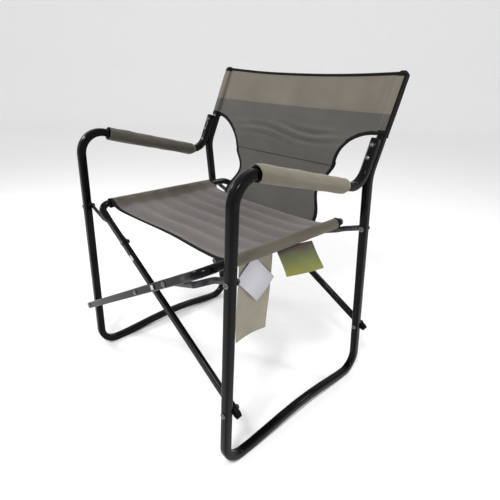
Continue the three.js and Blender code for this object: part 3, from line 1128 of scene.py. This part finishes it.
back = {
    "left": {"waist": 0.192, "start": 0.604, "corner": 0.685, "foot": 0.186, "power": 2.1},
    "right": {"waist": 0.182, "start": 0.598, "corner": 0.681, "foot": 0.176, "power": 1.7},
    "scallop": 0.030,
    "sag": 0.020,
    "sagHeight": 0.560,
    "sagSpread": 0.070,
    "slack": 0.007,
    "slackFrom": 0.56,
    "slackHeight": 0.26,
    "fold": 0.0022,
    "rumple": 0.0062,
    "rumpleAt": (0.02, 0.662),
    "rumpleSpread": (0.16, 0.022),
    "lowFold": 0.0024,
    "lowHeight": 0.60,
    "lowSpread": 0.05,
    "sideHold": 0.2,
    "kneeEase": 0.006,
    "thick": 0.002,
    "clothArea": 0.118,
    "stitchColumns": (0.948, 0.955),
    "squash": 0.3,
    "top": 0.822,
    "dip": 0.010,
    "bandFrom": 0.731,
    "binding": 0.0088,
    "outer": 0.2905,
    "columns": 170,
    "rows": 150,
}


def cutCurve(own, share):
    # how far out the rounded corner has come at a share of its height
    p = own["power"]
    return 1 - (1 - clamp(share) ** p) ** (1 / p)


def backEdge(side, z):
    own = back[side]
    share = (z - own["start"]) / (own["corner"] - own["start"])
    if share > 0:
        return own["waist"] + (back["outer"] - own["waist"]) * cutCurve(own, share)
    # below the waist it draws in a little and comes out again at the seat
    fall = min(1.0, (own["start"] - z) / (own["start"] - railZ))
    return own["waist"] + (own["foot"] - own["waist"]) * fall - back["scallop"] * math.sin(math.pi * fall) ** 2


def backDepth(z):
    # the cloth's plane: the uprights' lean above the knee, the tongue's below, eased at the join
    foot = size["seatRear"] + 0.002
    lean = (kneeY - foot) / (size["backKnee"] - railZ)
    low = foot + lean * (z - railZ)
    high = backY(z)
    soft = back["kneeEase"]
    return (low + high) / 2 + math.sqrt(((high - low) / 2) ** 2 + soft**2) - soft / 2


def backSurface(u, z):
    left, right = backEdge("left", z), backEdge("right", z)
    x = -right + (left + right) * u
    y = backDepth(z)
    inside = 1 - abs(2 * u - 1) ** 3
    height = z
    if z > back["bandFrom"]:
        rise = (z - back["bandFrom"]) / (back["top"] - back["bandFrom"])
        height = z - back["dip"] * rise * (1 - (x / back["outer"]) ** 2)
    # a hollow between the uprights
    push = back["slack"] * inside * math.sin(math.pi * clamp((z - back["slackFrom"]) / back["slackHeight"]))
    # long folds towards the corners
    push += back["fold"] * noise.noise(Vector((x * 5, z * 26 + x * 6, 1.7)))
    # rumples above the waist
    middleX, middleZ = back["rumpleAt"]
    wide, tall = back["rumpleSpread"]
    rumple = back["rumple"] * hump(z, middleZ, tall) * hump(x, middleX, wide)
    push += rumple * math.sin(260 * (z + 0.06 * x + 0.008 * math.sin(20 * x)))
    # loose folds at the knee
    loose = back["lowFold"] * hump(z, back["lowHeight"], back["lowSpread"])
    push += loose * noise.noise(Vector((x * 14 + z * 20, z * 18, 5.0)))
    push *= back["sideHold"] + (1 - back["sideHold"]) * inside
    # below the uprights' hold the cloth hangs back by its own stiffness
    sag = back["sag"] * hump(z, back["sagHeight"], back["sagSpread"])
    sag *= 1 - min(1.0, (abs(x) / back["outer"]) ** 6)
    return placed(x, y + push * math.cos(backAngle) + sag, height - push * math.sin(backAngle))


joinZ = 0.5985  # where the back's lower hem lies over the tongue
tongue = {"behind": 0.0030, "ease": 0.014, "lap": 0.010, "below": 0.006, "columns": 110, "rows": 70}


def tonguePlace(u, v, lowZ, highZ):
    # sewn behind the back's lower hem, and to the seat's rear edge
    z = lowZ + (highZ - lowZ) * v
    point = backSurface(u, z)
    point.y += tongue["behind"] * clamp((z - joinZ + tongue["ease"]) / tongue["ease"])
    foot = backSurface(u, lowZ)
    hem = seatSurface((foot.x / (railX - seat["wrap"]) + 1) / 2, 1.0)
    return point + (hem - foot) * (1 - v) ** 3


def backCloths(u, z):
    # the light band on top, the dark cloth below, and tape round every edge
    edge = back["binding"]
    left, right = backEdge("left", z), backEdge("right", z)
    x = -right + (left + right) * u
    side = "left" if x > 0 else "right"
    own = back[side]
    gap = (left if x > 0 else right) - abs(x)
    # the binding follows the cut-out, on its flat part as well
    under = z > own["start"] and abs(x) > backEdge(side, z - edge * 0.9) - edge * 0.4
    besideCut = (gap < edge or under) and z < own["corner"] + edge * 0.9
    if z > back["top"] - edge * 0.8 or besideCut:
        return 2
    return 0 if z > back["bandFrom"] else 1


def backStitches():
    lines = [lineAcross(backSurface, 0.05, 0.95, 140, back["bandFrom"] + 0.003)]
    lines.append(lineAcross(backSurface, 0.05, 0.95, 140, back["top"] - back["binding"] - 0.002))
    for u in back["stitchColumns"]:
        lines.append(lineAcross(backSurface, 0.70, 0.815, 30, u, "v"))
    return lines


def tongueStitches(lowZ):
    return [lineAcross(backSurface, 0.06, 0.94, 100, lowZ + inset) for inset in (0.006, 0.011)]


def makeBackPiece(name, node, place, lowZ, highZ, grid, width, area, lines):
    flat = (width, (highZ - lowZ) / math.cos(backAngle))
    piece = clothGrid(name, place, *grid, [taupeCloth, slateCloth, tape],
                      lambda u, v: backCloths(u, lowZ + (highZ - lowZ) * v), flat, back["thick"])
    out = Vector((0, -math.cos(backAngle), math.sin(backAngle)))
    stitches = makeStitches(name + "Stitches", [(line, out) for line in lines], greyThread)
    anchor = placed(size["halfSpan"], 0, 0)
    for part in (piece, stitches):
        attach(part, "side_left")
        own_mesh(part)
    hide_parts(node)


def makeBack():
    highZ = back["top"]

    def place(u, v):
        return backSurface(u, joinZ + (highZ - joinZ) * v)

    makeBackPiece("backCloth", "back_panel", place, joinZ, highZ, (back["columns"], back["rows"]),
                  2 * back["outer"], back["clothArea"], backStitches())


def makeTongue():
    lowZ, highZ = railZ - tongue["below"], joinZ + tongue["lap"]
    width = back["left"]["waist"] + back["right"]["waist"]

    def place(u, v):
        return tonguePlace(u, v, lowZ, highZ)

    makeBackPiece("tongueCloth", "back_tongue", place, lowZ, highZ, (tongue["columns"], tongue["rows"]),
                  width, None, tongueStitches(lowZ))


backSleeve = {
    "room": 0.0016,
    "corner": 0.0058,
    "perCorner": 8,
    "stations": 60,
    "past": 0.001,
    "wrinkle": 0.0006,
    "closing": 0.009,
    "closed": 0.45,
    "lip": 0.05,
    "lipLength": 0.0025,
    "tapeBelow": 4,
    "tapeAbove": 6,
    "tapeFrom": 0.0085,
}


def makeBackSleeve(side, sign):
    own = backSleeve
    steps, past = own["stations"], own["past"]
    lowZ, highZ = back[side]["corner"] - past, back["top"] + past
    way = Vector((0, math.sin(backAngle), math.cos(backAngle)))
    heights = [lowZ + (highZ - lowZ) * i / steps for i in range(steps + 1)]
    run = [(Vector((0, backY(z), z)), way) for z in heights]
    total = lengths(run)[-1]
    half = size["postTube"] / 2 + own["room"]
    offsets = squareOutline(half, own["corner"], own["perCorner"])

    def skin(share, k, along):
        across, out = offsets[k]
        grow = 1 + own["wrinkle"] / half * noise.noise(Vector((across * 90, along * 30 + sign * 4, out * 90)))
        grow *= 1 - own["closed"] * max(0.0, 1 - (total - along) / own["closing"]) ** 2.2
        grow *= 1 + own["lip"] * math.exp(-along / own["lipLength"])
        return across * grow, out * grow

    points, faces, uvs = loft(run, skin, len(offsets))
    points = atSide(points, sign * size["halfSpan"])
    piece = makeMesh(f"backSleeve.{side}", points, faces, [taupeCloth, slateCloth, tape], uvs=uvs)
    for polygon in piece.data.polygons:
        away = sign * (polygon.center.x - sign * size["halfSpan"])
        row = polygon.index // len(offsets)
        if row >= steps - own["tapeAbove"] or row < own["tapeBelow"] or away > own["tapeFrom"]:
            polygon.material_index = 2
        else:
            polygon.material_index = 0 if polygon.center.z > back["bandFrom"] + 0.002 else 1
    recalc(piece)
    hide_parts(f"back_sleeve_{side}")
    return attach(piece, f"side_{side}")


# labels
hangings = {
    "care_label": {
        "size": (0.100, 0.200),
        "turn": -0.05,
        "swing": 0.02,
        "curl": -0.005,
        "cloth": labelTape,
        "slot": "cream_label",
    },
    "hang_card_plain": {
        "size": (0.068, 0.092),
        "turn": 0.72,
        "swing": 0.02,
        "curl": 0.002,
        "cloth": whiteCard,
        "slot": "white_card",
    },
    "hang_card_tinted": {
        "size": (0.118, 0.068),
        "turn": -0.12,
        "swing": 0.70,
        "curl": 0.003,
        "cloth": tintedCard,
        "slot": "tinted_card",
    },
}
hangingThick = 0.0006


def plainCloth(u, v):
    # one material all over
    return 0


def makeHangings():
    for node, own in hangings.items():
        middle = centreOf(node)
        width, length = own["size"]
        turn = Matrix.Rotation(own["turn"], 3, "X")
        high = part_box(node)[1].z - middle.z

        def place(u, v):
            bow = own["curl"] * (math.sin(math.pi * u) * (1 - v) + 1.5 * (1 - v) ** 2 * math.sin(3 * v + u))
            flat = turn @ Vector((0, (u - 0.5) * width, (v - 0.5) * length))
            # the lower edge swings out from the seat
            fall = high - flat.z
            out, down = fall * math.sin(own["swing"]), fall * math.cos(own["swing"])
            return middle + Vector((bow + out, flat.y, high - down))

        piece = clothGrid("hung." + node, place, 24, 40, [own["cloth"]], plainCloth, own["size"], hangingThick)
        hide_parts(node)
        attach(piece, "labels")


sticker = {
    "along": 0.441,
    "size": (0.016, 0.011),
    "lift": 0.012,
    "liftFrom": 0.6,
    "proud": 0.0004,
    "thick": 0.0003,
}


def makeLegStickers():
    # a small blank sticker with a lifted end on the face of each front leg
    long, wide = sticker["size"]
    for side, sign in (("left", 1), ("right", -1)):
        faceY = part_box(f"leg_frame_{side}")[0].y + size["railTube"] / 2 - legs["halfThick"]
        along = Vector((sign * math.sin(size["openTilt"]), 0, math.cos(size["openTilt"])))
        across = Vector((along.z, 0, -along.x))
        pivot = Vector((-sign * size["halfSpan"], faceY - sticker["proud"], size["lowerPivot"]))
        middle = pivot + along * sticker["along"]

        def place(u, v):
            lift = sticker["lift"] * max(0.0, u - sticker["liftFrom"]) ** 2
            return middle + along * (long * (u - 0.5)) + across * (wide * (v - 0.5)) - Vector((0, lift, 0))

        piece = clothGrid(f"legSticker.{side}", place, 8, 4, [whiteCard], plainCloth, sticker["size"],
                          sticker["thick"])
        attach(piece, f"leg_{side}")


# assembly
for side, sign in (("left", 1), ("right", -1)):
    makeSideFrame(side, sign)
    makeLegFrame(side, sign)
    makeArmCover(side, sign)
    makeArmFoam(side, sign)
    makeRailSleeve(side, sign)
    makeBackSleeve(side, sign)
    for end in ("front", "rear"):
        makeLink(end, side, sign)
makeFasteners()
print("metalwork made")
makeSeat()
makeBack()
makeTongue()
makeHangings()
makeLegStickers()
print("cloth made")


# floor, light and camera
stage = {"half": 6.0, "bend": 0.8, "bendSteps": 12, "sky": 0.78}
lights = {
    "key": {"watts": 38.0, "place": (0.9, -1.5, 2.4), "aim": (0, 0, 0.4), "width": 0.45},
    "fill": {"watts": 14.0, "place": (-1.8, -0.8, 1.6), "aim": (0, 0, 0.4), "width": 0.5},
    "rim": {"watts": 17.0, "place": (0.6, 1.7, 2.3), "aim": (0, 0, 0.5), "width": 0.45},
}


def makeFloor():
    # flat under the chair, and curved up behind it
    half, bend, steps = stage["half"], stage["bend"], stage["bendSteps"]
    profile = [(-half, 0.0)]
    for i in range(steps + 1):
        angle = math.pi / 2 * i / steps
        profile.append((half - bend + bend * math.sin(angle), bend * (1 - math.cos(angle))))
    profile.append((half, half))
    turn = Matrix.Rotation(camera["azimuth"], 3, "Z")
    points = [turn @ Vector((x, y, z)) for y, z in profile for x in (-2 * half, 2 * half)]
    faces = [(2 * i, 2 * i + 1, 2 * i + 3, 2 * i + 2) for i in range(len(profile) - 1)]
    makeMesh("floor", points, faces, [paleFloor()])


def makeLight(name, own):
    lamp = bpy.data.lights.new(name, "AREA")
    lamp.energy = own["watts"]
    lamp.shape = "RECTANGLE"
    lamp.size = own["width"]
    lamp.size_y = own["width"] * 0.7
    made = bpy.data.objects.new(name, lamp)
    made.location = own["place"]
    made.rotation_euler = (Vector(own["aim"]) - Vector(own["place"])).to_track_quat("-Z", "Y").to_euler()
    bpy.context.scene.collection.objects.link(made)


camera = {
    "place": (0.79098, -0.42657, 0.81546),
    "azimuth": math.radians(45.6),
    "elevation": math.radians(23.65),
    "roll": math.radians(1.607),
    "lens": 29.46,
}


def makeCamera():
    data = bpy.data.cameras.new("camera")
    data.lens = camera["lens"]
    data.sensor_width = 36.0
    data.clip_start = 0.02
    made = bpy.data.objects.new("camera", data)
    look = (
        Matrix.Rotation(camera["azimuth"], 4, "Z")
        @ Matrix.Rotation(math.pi / 2 - camera["elevation"], 4, "X")
    )
    roll = Matrix.Rotation(camera["roll"], 4, "Z")
    made.matrix_world = Matrix.Translation(placed(*camera["place"])) @ look @ roll
    bpy.context.scene.collection.objects.link(made)
    bpy.context.scene.camera = made


def makeWorld():
    world = bpy.data.worlds.new("studio")
    world.use_nodes = True
    shade = world.node_tree.nodes["Background"]
    shade.inputs["Color"].default_value = (1.0, 1.0, 1.0, 1.0)
    shade.inputs["Strength"].default_value = stage["sky"]
    bpy.context.scene.world = world


makeCamera()
makeFloor()
makeWorld()
for name, own in lights.items():
    makeLight(name, own)
bpy.context.scene.view_settings.view_transform = "Standard"
print("stage made")
